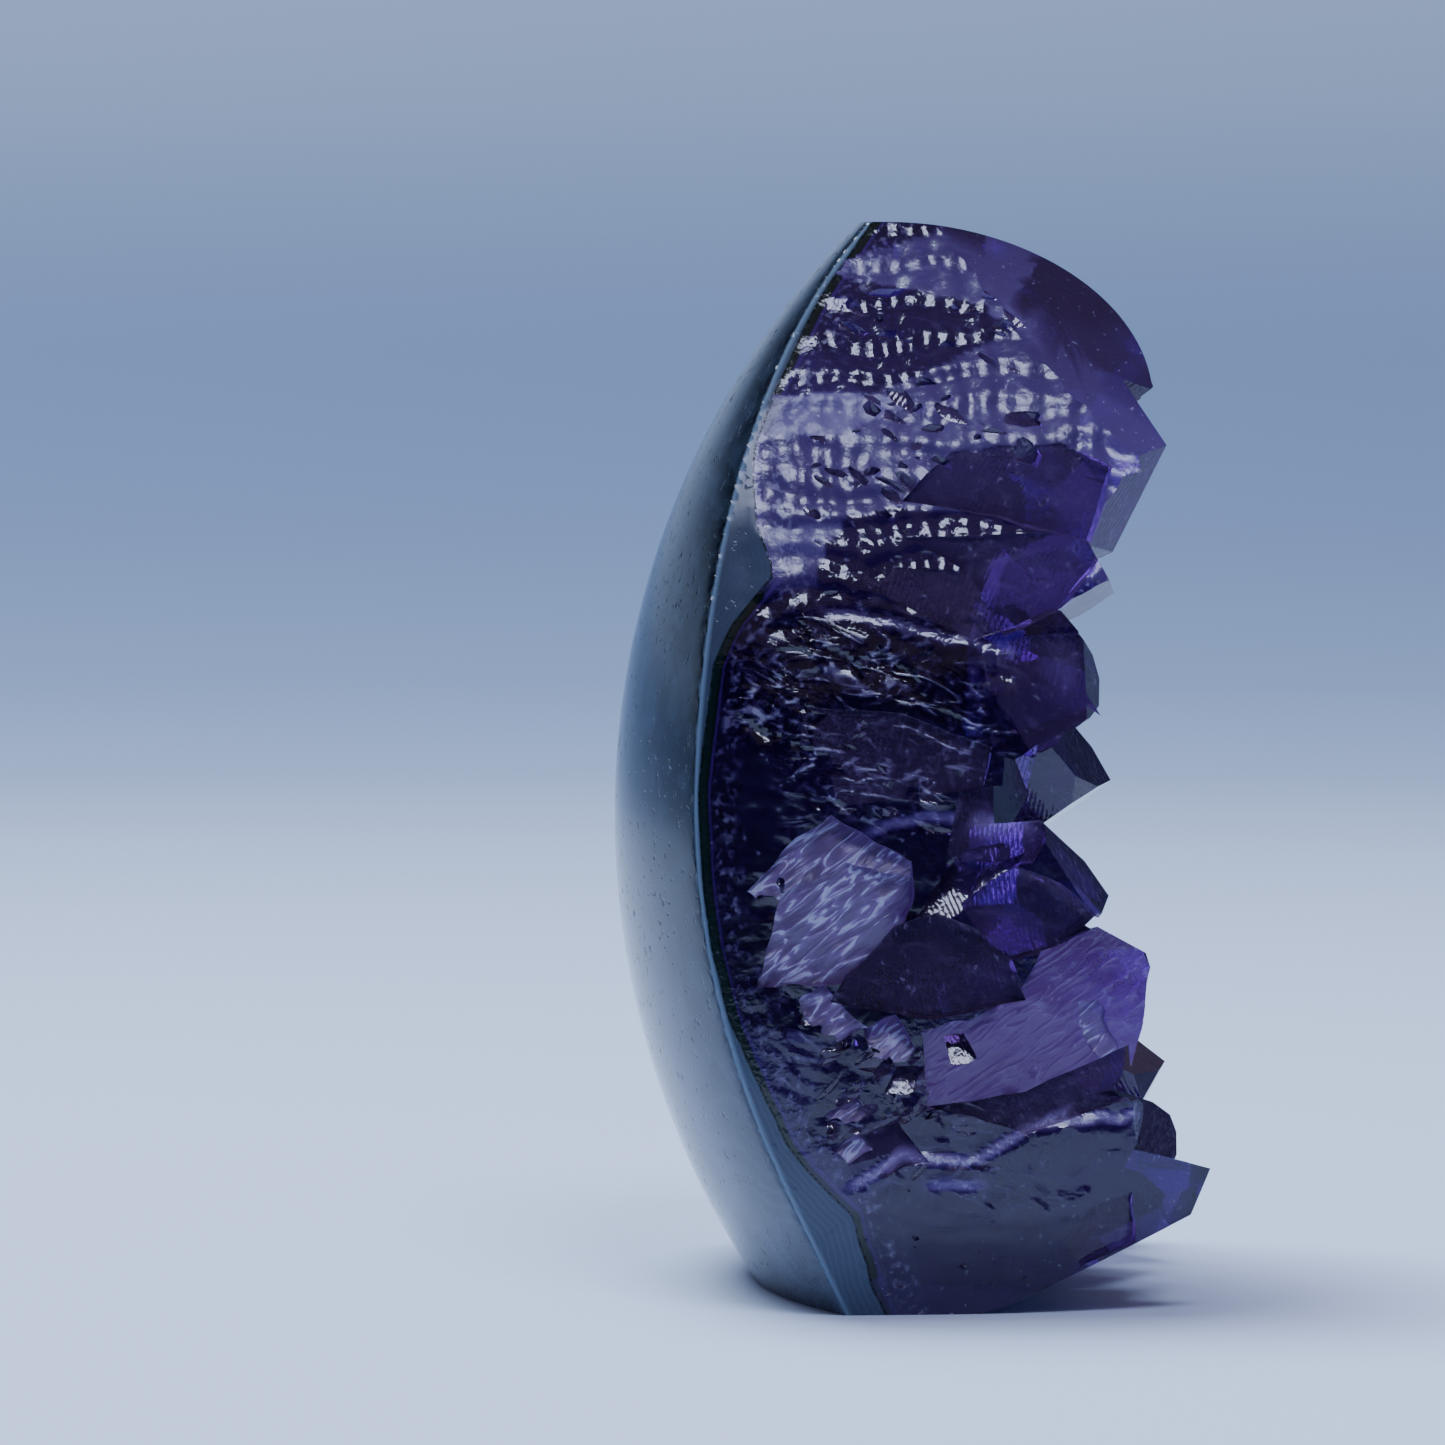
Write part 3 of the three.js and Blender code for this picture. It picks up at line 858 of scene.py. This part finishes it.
def amethyst_material(finish):
    """Amethyst: clear violet quartz, ground and polished on the sides and as grown at the front.

    It is dark and glassy where it is thick and lights up violet in the thin tips. Each crystal that the
    grinding cut through has its own share of pale haze, and painted sheen makes the upper sides paler where
    the key light's haze lies. Healed fractures, bruised breaks and the milky roots of the crystals along the
    agate scatter a pale lilac, and the split edges of the ledges carry a painted highlight.
    """
    material, tree = blank("amethyst")
    place = in_mm(tree)
    grown, broken, bruised, inward, tone_and_sheen, white, edge = (
        add(tree, "Attribute", attribute_name=name).outputs["Fac"] for name in MARKS
    )
    satin = add(tree, "Math", (broken, bruised), operation="ADD")

    # Fractures: feathery threads, 2 to 3 mm apart, that run in from the rind and a little down. On
    # breaks they are finer hackles that run steeply up.
    runs = []
    for degrees, stretch in ((14, (1, 1.7, 0.65)), (-36, (1, 1.5, 0.36))):
        run = {"Vector": place, "Rotation": (math.radians(degrees), 0, 0), "Scale": stretch}
        runs.append(add(tree, "Mapping", run, vector_type="TEXTURE"))
    along = add(tree, "Mix", {0: satin, 4: runs[0], 5: runs[1]}, data_type="VECTOR").outputs[1]
    ridges = {"Vector": along, "Scale": 0.5, "Detail": 4, "Roughness": 0.68, "Distortion": 0.7, "Offset": 1}
    ridges = add(tree, "TexNoise", ridges, noise_type="RIDGED_MULTIFRACTAL")
    thread = add(tree, "MapRange", (ridges, 1.42, 2.0))
    cloud = add(tree, "MapRange", (ridges, 0.7, 1.9, 0.3, 1.3))
    # Grains of milk and polishing pits, half a millimetre across.
    grit = add(tree, "TexNoise", {"Vector": place, "Scale": 2.1, "Detail": 2})
    grain = add(tree, "MapRange", (grit, 0.5, 0.68))

    # Milky roots: grains in a band 0.5 to 2.4 mm in from the agate.
    root = add(tree, "MapRange", (inward, 0.5, 0.9))
    root = add(tree, "MapRange", (inward, 1.5, 2.6, root, 0))
    for share in (grain, 0.5):
        root = add(tree, "Math", (root, share), operation="MULTIPLY")
    # Whitened flakes: threads and grains where flakes were pulled out.
    flake = add(tree, "Math", (grain, 0.3, thread), operation="MULTIPLY_ADD")
    flake = add(tree, "Math", (flake, white), operation="MULTIPLY")
    # Bruises are white along their threads, and other breaks and grown faces have wisps of them.
    crack = add(tree, "Math", (thread, 1.5, 0.3), operation="MULTIPLY_ADD")
    crack = add(tree, "Math", (crack, bruised), operation="MULTIPLY")
    for where, weight in ((broken, 0.25), (grown, 0.12)):
        wisp = add(tree, "Math", (thread, where), operation="MULTIPLY")
        crack = add(tree, "Math", (wisp, weight, crack), operation="MULTIPLY_ADD")
    # Split edges of the ledges: white, partly a crack and partly a painted highlight, and broken up by the
    # grains.
    split = add(tree, "Math", (grain, 0.4, 0.6), operation="MULTIPLY_ADD")
    split = add(tree, "Math", (split, edge), operation="MULTIPLY")
    # Specks, 0.2 mm across, where the polish tore grains out.
    speck = add(tree, "MapRange", (grit, 0.67, 0.72, 0, 0.45))
    frost = flake
    for other, clamp in ((root, False), (crack, False), (split, True), (speck, False)):
        frost = add(tree, "Math", (frost, other), operation="MAXIMUM", use_clamp=clamp)

    # A pale haze high on the ground sides: partly a less fine polish, partly painted sheen of the key light.
    veil_and_sheen = add(tree, "Math", (1, grown), operation="SUBTRACT")
    for _ in range(2):
        veil_and_sheen = add(tree, "Math", (veil_and_sheen, tone_and_sheen), operation="MULTIPLY")
    # A dark green line, half a millimetre wide, where the amethyst starts on the agate. It fades out under
    # the painted sheen of the upper sides.
    start = add(tree, "MapRange", (inward, 0.2, 0.6, 1, 0))
    fine = add(tree, "Math", (1, tone_and_sheen), operation="SUBTRACT")
    start = add(tree, "Math", (start, fine), operation="MULTIPLY")

    # Paler where frosted, and where the haze of the upper sides paints sheen.
    paler = add(tree, "Math", (veil_and_sheen, 0.3, frost), operation="MULTIPLY_ADD", use_clamp=True)
    green = add(tree, "MapRange", (start, 0.1, 0.4))
    tint = colour(GROUND_VIOLET)
    layers = ((grown, GROWN_VIOLET), (satin, finish.milk), (paler, FROST), (green, GREEN_SKIN))
    for share, toward in layers:
        tint = add(tree, "Mix", {0: share, 6: tint, 7: colour(toward)}, data_type="RGBA")

    # How much the surface scatters instead of letting it through, and how rough it is left.
    cloud = add(tree, "Math", (bruised, cloud), operation="MULTIPLY")
    cloud = add(tree, "Math", (broken, 0.72, cloud), operation="MULTIPLY_ADD")
    body = rough = 0.01
    # The haze of the upper sides adds painted sheen to the scatter, and the split edges add a painted
    # highlight.
    milky = (grown, 0.025), (tone_and_sheen, 0.06), (veil_and_sheen, 0.15), (cloud, 0.22), (frost, 0.3), (split, 0.4)
    for share, weight in (*milky, (start, 0.8)):
        body = add(tree, "Math", (share, weight, body), operation="MULTIPLY_ADD")
    body.use_clamp = True
    clear = add(tree, "Math", (1, body), operation="SUBTRACT")
    for share, weight in ((grit, 0.1), (frost, 0.3), (satin, 0.22), (veil_and_sheen, 0.19)):
        rough = add(tree, "Math", (share, weight, rough), operation="MULTIPLY_ADD")

    # Relief in millimetres: growth lines 0.3 mm apart on grown faces, ripples on breaks, and grit.
    lines = add(tree, "VectorMath", (place, HOLLOW_CENTRE), operation="DISTANCE")
    lines = add(tree, "Math", (lines, GROWTH_LINES, tone_and_sheen), operation="MULTIPLY_ADD")
    lines = add(tree, "Math", (lines,), operation="SINE")
    lines = add(tree, "Math", (lines, grown), operation="MULTIPLY")
    torn = bruised
    for share, weight in ((broken, 0.4), (white, 0.6)):
        torn = add(tree, "Math", (share, weight, torn), operation="MULTIPLY_ADD")
    torn = add(tree, "Math", (torn, ridges), operation="MULTIPLY")
    relief = 0
    for shape, high in ((lines, 0.005), (torn, 0.09), (grit, 0.05)):
        relief = add(tree, "Math", (shape, high, relief), operation="MULTIPLY_ADD")
    bump = add(tree, "Bump", {"Strength": 0.6, "Distance": MM, "Height": relief})

    quartz = {"Base Color": tint, "Roughness": rough, "Transmission Weight": clear, "Normal": bump}
    quartz = add(tree, "BsdfPrincipled", quartz | {"IOR": QUARTZ_IOR})
    depth = {"Color": colour(finish.violet), "Density": finish.depth_of_colour}
    add(tree, "OutputMaterial", {"Surface": quartz, "Volume": add(tree, "VolumeAbsorption", depth)})
    return material


def agate_material(dome_radius):
    """Polished chalcedony: a waxy stone that takes a glassy polish, banded by how it was laid down.

    It gives the eye a deep slate blue with darker smudges, and a paler base that is a painted reflection of
    the pale floor. Where the sides cut through it, it is paler too, with thin bands along the dome, a
    painted highlight along the worn rim and a dark green skin where the crystals start.
    """
    material, tree = blank("polished_chalcedony")
    place = in_mm(tree)
    inward = add(tree, "Attribute", attribute_name="from_rind").outputs["Fac"]
    height = add(tree, "SeparateXYZ", (place,)).outputs[2]
    out = add(tree, "VectorMath", (place, DOME_CENTRE), operation="DISTANCE")
    side = add(tree, "MapRange", (out, dome_radius - 0.16, dome_radius - 0.04, 1, 0))
    # Paler towards the base: a painted reflection of the pale floor.
    low = add(tree, "MapRange", (height, 4, 34, 1, 0), interpolation_type="SMOOTHSTEP")
    # Smudges, a centimetre or two across, and finer mottling.
    smudge = add(tree, "Mapping", {"Vector": place, "Scale": (1, 1, 0.55)})
    smudge = add(tree, "TexNoise", {"Vector": smudge, "Scale": 0.08, "Detail": 3, "Distortion": 0.4})
    smudge = add(tree, "MapRange", (smudge, 0.42, 0.62, 0, 0.55))
    mottle = add(tree, "TexNoise", {"Vector": place, "Scale": 0.45, "Detail": 4, "Distortion": 0.6})
    pale = add(tree, "MapRange", (mottle, 0.45, 0.72, 0, 0.16))
    # The ground sides show the agate paler, with faint bands about 0.35 mm apart.
    cut = add(tree, "Math", (side, 0.6), operation="MULTIPLY")
    wander = add(tree, "Math", (mottle, 9), operation="MULTIPLY")
    band = add(tree, "Math", (inward, AGATE_BANDS, wander), operation="MULTIPLY_ADD")
    band = add(tree, "Math", (band,), operation="SINE")
    band_share = add(tree, "Math", (low, 0.035, 0.012), operation="MULTIPLY_ADD")
    band = add(tree, "MapRange", (band, -0.2, 1, 0, band_share))
    # A painted highlight: a pale line along the worn rim between dome and sides, where it would catch the
    # light.
    rim = add(tree, "MapRange", (out, dome_radius - 0.4, dome_radius - 0.12, 0, 0.35))
    rim = add(tree, "Math", (rim, side), operation="MULTIPLY")
    skin = add(tree, "MapRange", (inward, -0.2, -0.04))
    base = colour(SLATE)
    for share, toward in (
        (low, FLOOR_REFLECTION_SLATE), (smudge, SMUDGE), (pale, MOTTLE), (cut, CUT_SLATE), (band, BAND),
        (rim, RIM_HIGHLIGHT), (skin, GREEN_SKIN),
    ):
        base = add(tree, "Mix", {0: share, 6: base, 7: colour(toward)}, data_type="RGBA")

    pits = add(tree, "TexNoise", {"Vector": place, "Scale": 1.6, "Detail": 2, "Distortion": 0.5})
    pits = add(tree, "MapRange", (pits, 0.64, 0.72))
    rough = 0.07
    for share, weight in ((pits, 0.3), (side, 0.1)):
        rough = add(tree, "Math", (share, weight, rough), operation="MULTIPLY_ADD")
    relief = add(tree, "Math", (pits, -0.1), operation="MULTIPLY")
    bump = add(tree, "Bump", {"Strength": 0.25, "Distance": MM, "Height": relief})
    wax = {"Base Color": base, "Roughness": rough, "IOR": CHALCEDONY_IOR, "Normal": bump}
    wax = add(tree, "BsdfPrincipled", wax | {"Specular IOR Level": 0.25})
    add(tree, "OutputMaterial", {"Surface": wax})
    return material


def cotton_material():
    """Pale cotton, laid smooth: a matt floor that takes a soft shadow, with painted shade for an unlit room.
    """
    material, tree = blank("pale_cotton")
    place = add(tree, "TexCoord").outputs["Object"]
    across = add(tree, "SeparateXYZ", (place,)).outputs[0]
    out = add(tree, "VectorMath", (place,), operation="LENGTH")
    shade = colour(COTTON)
    # Painted shade and light: darker away from the stone, lighter again up the backdrop, darker at its top.
    for near, far, toward in COTTON_PAINTED_FALLOFF:
        share = add(tree, "MapRange", (out, near, far), interpolation_type="SMOOTHSTEP")
        shade = add(tree, "Mix", {0: share, 6: shade, 7: colour(toward)}, data_type="RGBA")
    # Painted shade on the -X side, for an unlit room behind the camera.
    painted_room_shade = add(tree, "MapRange", (across, -1.1, -0.35, 0.92, 0), interpolation_type="SMOOTHSTEP")
    shade = add(tree, "Mix", {0: painted_room_shade, 6: shade, 7: colour(COTTON_PAINTED_SHADE)}, data_type="RGBA")
    cotton = {"Base Color": shade, "Roughness": 0.9, "Specular IOR Level": 0.2}
    add(tree, "OutputMaterial", {"Surface": add(tree, "BsdfPrincipled", cotton)})
    return material


# ---- finishing a piece ----------------------------------------------------------------------------

SHARP = math.radians(24)
SLIVER = 0.004
# How near to a ground side the whitened flakes and split ledges show.
SIDE_SKIN = 1.2


def largest_part(bm):
    """Deletes every loose part but the largest."""
    left = set(bm.verts)
    parts = []
    while left:
        front = [left.pop()]
        part = set(front)
        while front:
            v = front.pop()
            near = left.intersection(e.other_vert(v) for e in v.link_edges)
            left -= near
            part |= near
            front.extend(near)
        parts.append(part)
    parts.sort(key=len)
    for part in parts[:-1]:
        bmesh.ops.delete(bm, geom=list(part), context="VERTS")


def mend(bm):
    """Deletes slivers, doubled and lone faces and loose edges, and closes what they leave open."""
    for turn in range(6):
        bmesh.ops.dissolve_degenerate(bm, dist=SLIVER, edges=bm.edges[:])
        seen, doubled = {}, {}
        for f in bm.faces:
            corners = frozenset(f.verts)
            if corners in seen:
                doubled |= {f: True, seen[corners]: True}
            seen[corners] = f
        bmesh.ops.delete(bm, geom=list(doubled), context="FACES")
        crowded = [e.link_faces for e in bm.edges if len(e.link_faces) > 2]
        thin = {min(faces, key=lambda face: face.calc_area()): True for faces in crowded}
        bmesh.ops.delete(bm, geom=list(thin), context="FACES")
        lone = [f for f in bm.faces if all(e.is_boundary for e in f.edges)]
        bmesh.ops.delete(bm, geom=lone, context="FACES")
        bmesh.ops.delete(bm, geom=[e for e in bm.edges if e.is_wire], context="EDGES")
        bmesh.ops.delete(bm, geom=[v for v in bm.verts if not v.link_edges], context="VERTS")
        bmesh.ops.remove_doubles(bm, verts=[v for v in bm.verts if v.is_boundary], dist=SLIVER)
        if turn < 3:
            bmesh.ops.holes_fill(bm, edges=[e for e in bm.edges if e.is_boundary], sides=0)
            bmesh.ops.edgenet_fill(bm, edges=[e for e in bm.edges if e.is_boundary])
            bmesh.ops.triangulate(bm, faces=[f for f in bm.faces if len(f.verts) > 4])
        else:
            bmesh.ops.collapse(bm, edges=[e for e in bm.edges if e.is_boundary])


def smooth_edges(bm):
    """Shades ground surfaces smooth and keeps the edges between faces sharp."""
    for f in bm.faces:
        f.smooth = True
    for e in bm.edges:
        e.smooth = len(e.link_faces) == 2 and e.calc_face_angle(0) < SHARP


def crystal_tone_and_sheen(place):
    """How hazy a place is: each crystal cut through has its own share, times a painted sheen set by height.
    """
    at = place * Vector((1, 0.42, 1)) * 0.17
    own = noise.cell_vector(noise.voronoi(at)[1][0] * 31).x
    return reading(TONES_AND_SHEEN, place.z) * (0.55 + 0.9 * own)


def finish_piece(body, name, material, radius):
    """Marks the surface for its material, scales it to metres and lets it ride on the stone."""
    mesh = body.data
    bm = taken_from(mesh)
    mend(bm)
    largest_part(bm)
    bmesh.ops.recalc_face_normals(bm, faces=bm.faces)
    smooth_edges(bm)
    give_back(bm, mesh)
    made = [round(d.value) for d in mesh.attributes["made"].data]
    for mark, kind in (("grown", GROWN), ("broken", BROKEN), ("bruised", BRUISED)):
        faces = mesh.attributes.new(mark, "FLOAT", "FACE")
        faces.data.foreach_set("value", [float(m == kind) for m in made])
    depth, tones_and_sheen, whites, splits = [], [], [], []
    for v in mesh.vertices:
        out = v.co - DOME_CENTRE
        wall = radius - agate_depth(DOME_CENTRE + out.normalized() * radius)
        depth.append(wall - out.length)
        tones_and_sheen.append(crystal_tone_and_sheen(v.co))
        near = abs(v.co.x) > side_x(v.co.y, v.co.z) - SIDE_SKIN
        whites.append(flaking(v.co)[1] if near else 0.0)
        splits.append(ledges(v.co.y, v.co.z)[1] if near else 0.0)
    for mark, values in (("from_rind", depth), ("tone_and_sheen", tones_and_sheen), ("white", whites), ("split", splits)):
        mesh.attributes.new(mark, "FLOAT", "POINT").data.foreach_set("value", values)
    mesh.transform(Matrix.Scale(MM, 4))
    mesh.materials.clear()
    mesh.materials.append(material)
    bpy.data.objects.remove(body)
    piece = bpy.data.objects.new(name, mesh)
    bpy.context.scene.collection.objects.link(piece)
    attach(piece, "root")
    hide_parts(NODE)
    return piece


class OBJECT_OT_druzy_rind(bpy.types.Operator):
    """Builds the agate rind that the dome is ground from"""

    bl_idname = "object.druzy_rind"
    bl_label = "Agate rind"

    def execute(self, context):
        shape = context.scene.druzy_shape
        radius = shape.dome_radius / MM
        body = ground_body(shape)
        rind = combine(body, [geode_wall(radius)], "DIFFERENCE")
        piece = finish_piece(rind, "agate_rind", agate_material(radius), radius)
        return {"FINISHED"}


class OBJECT_OT_druzy_crystals(bpy.types.Operator):
    """Builds the amethyst: the ground mass with the crystals that line the hollow"""

    bl_idname = "object.druzy_crystals"
    bl_label = "Amethyst crystals"

    def execute(self, context):
        scene = context.scene
        shape = scene.druzy_shape
        radius = shape.dome_radius / MM
        body = ground_body(shape)
        body = combine(body, [geode_wall(radius, EMBEDDED)], "INTERSECT")
        wall = body.copy()
        wall.data = body.data.copy()
        groove = [r + shape.groove / MM for r in HOLLOW_RADII]
        wall = combine(wall, [ball(HOLLOW_CENTRE, groove, GROWN, 5)], "DIFFERENCE")
        grown = combine(druse(shape), [body], "INTERSECT")
        mass = combine(wall, [grown], "UNION")
        piece = finish_piece(mass, "amethyst_crystals", amethyst_material(scene.druzy_finish), radius)
        return {"FINISHED"}


# The flat of the floor, and the curve of the backdrop that rises from it: its radius and its angle.
FLOOR_RADIUS, BACKDROP_RADIUS, BACKDROP_TURN = 0.55, 0.9, 84
FLOOR_RINGS, BACKDROP_STEPS, ROUND_STEPS = (0.001, 0.25, FLOOR_RADIUS), 12, 96
ROOM_LIGHT, ROOM_STRENGTH = 0xE0CEE6, 0.27
# Where the camera aims, the way back from there to it, and its sensor's width in millimetres.
CAMERA_AIM, CAMERA_BACK, SENSOR = Vector((0, 0.0082, 0.03555)), Vector((-0.9962, 0.0697, 0.0523)), 36


def soft_light(name, place, aim, size, power, shade):
    """A soft box: a plain rectangular light that faces a point."""
    light = bpy.data.lights.new(name, "AREA")
    light.shape = "RECTANGLE"
    light.size, light.size_y = size
    light.energy = power
    light.color = colour(shade)[:3]
    lamp = bpy.data.objects.new(name, light)
    lamp.location = place
    lamp.rotation_euler = (Vector(aim) - Vector(place)).to_track_quat("-Z", "Y").to_euler()
    lamp.visible_camera = False
    bpy.context.scene.collection.objects.link(lamp)


class SCENE_OT_druzy_stage(bpy.types.Operator):
    """Lays the floor with its round backdrop, and sets the soft light and the camera"""

    bl_idname = "scene.druzy_stage"
    bl_label = "Floor, light and camera"

    def execute(self, context):
        scene = context.scene
        studio = scene.druzy_studio

        bm = bmesh.new()
        bend = [(r, 0, 0) for r in FLOOR_RINGS]
        for step in range(1, BACKDROP_STEPS + 1):
            turn = math.radians(BACKDROP_TURN / BACKDROP_STEPS * step)
            across, up = math.sin(turn), 1 - math.cos(turn)
            bend.append((FLOOR_RADIUS + BACKDROP_RADIUS * across, 0, BACKDROP_RADIUS * up))
        verts = [bm.verts.new(p) for p in bend]
        line = verts + [bm.edges.new(pair) for pair in zip(verts, verts[1:])]
        whole = {"cent": (0, 0, 0), "axis": (0, 0, 1), "angle": math.tau, "use_merge": True}
        bmesh.ops.spin(bm, geom=line, steps=ROUND_STEPS, **whole)
        middle = [e for e in bm.edges if e.is_boundary and e.verts[0].co.length < 0.01]
        bmesh.ops.holes_fill(bm, edges=middle)
        bmesh.ops.recalc_face_normals(bm, faces=bm.faces)
        for f in bm.faces:
            f.smooth = True
        floor = solid("floor", bm)
        floor.data.materials.append(cotton_material())
        scene.collection.objects.link(floor)

        world = bpy.data.worlds.new("studio")
        world.use_nodes = True
        room = world.node_tree.nodes["Background"].inputs
        room[0].default_value, room[1].default_value = colour(ROOM_LIGHT), ROOM_STRENGTH
        scene.world = world

        aim = (0, 0, 0.035)
        soft_light("key", (-0.32, -0.06, 0.5), aim, (0.19, 0.15), studio.key_power, 0xD2DCFF)
        soft_light("overhead", (0.3, 0.3, 1.1), (0, 0, 0), (0.6, 0.6), studio.fill_power, 0xD6E8FF)

        lens = bpy.data.cameras.new("camera")
        lens.lens = studio.focal_length
        lens.sensor_width = SENSOR
        lens.clip_start, lens.clip_end = 0.01, 10
        camera = bpy.data.objects.new("camera", lens)
        back = CAMERA_BACK.normalized()
        camera.location = CAMERA_AIM + back * studio.camera_distance
        camera.rotation_euler = (-back).to_track_quat("-Z", "Y").to_euler()
        scene.collection.objects.link(camera)
        scene.camera = camera
        return {"FINISHED"}


GROUPS = {"druzy_shape": DruzyShape, "druzy_finish": DruzyFinish, "druzy_studio": DruzyStudio}
OPERATORS = (OBJECT_OT_druzy_rind, OBJECT_OT_druzy_crystals, SCENE_OT_druzy_stage)


class VIEW3D_PT_druzy(bpy.types.Panel):
    """Sizes, colours and steps of the amethyst druzy point"""

    bl_idname = "VIEW3D_PT_druzy"
    bl_label = "Amethyst druzy point"
    bl_space_type = "VIEW_3D"
    bl_region_type = "UI"
    bl_category = "Amethyst"

    def draw(self, context):
        for group in GROUPS:
            values = getattr(context.scene, group)
            box = self.layout.box()
            for name in values.bl_rna.properties.keys():
                if name not in {"rna_type", "name"}:
                    box.prop(values, name)
        for operator in OPERATORS:
            self.layout.operator(operator.bl_idname)


CLASSES = (*GROUPS.values(), *OPERATORS, VIEW3D_PT_druzy)


def register():
    for cls in CLASSES:
        bpy.utils.register_class(cls)
    for name, group in GROUPS.items():
        setattr(bpy.types.Scene, name, PointerProperty(type=group))


def unregister():
    for name in GROUPS:
        delattr(bpy.types.Scene, name)
    for cls in reversed(CLASSES):
        bpy.utils.unregister_class(cls)


def main():
    register()
    bpy.ops.scene.druzy_stage()
    bpy.ops.object.druzy_rind()
    bpy.ops.object.druzy_crystals()
    for kept in KEPT.values():
        bpy.data.objects.remove(kept)


if __name__ == "__main__":
    main()
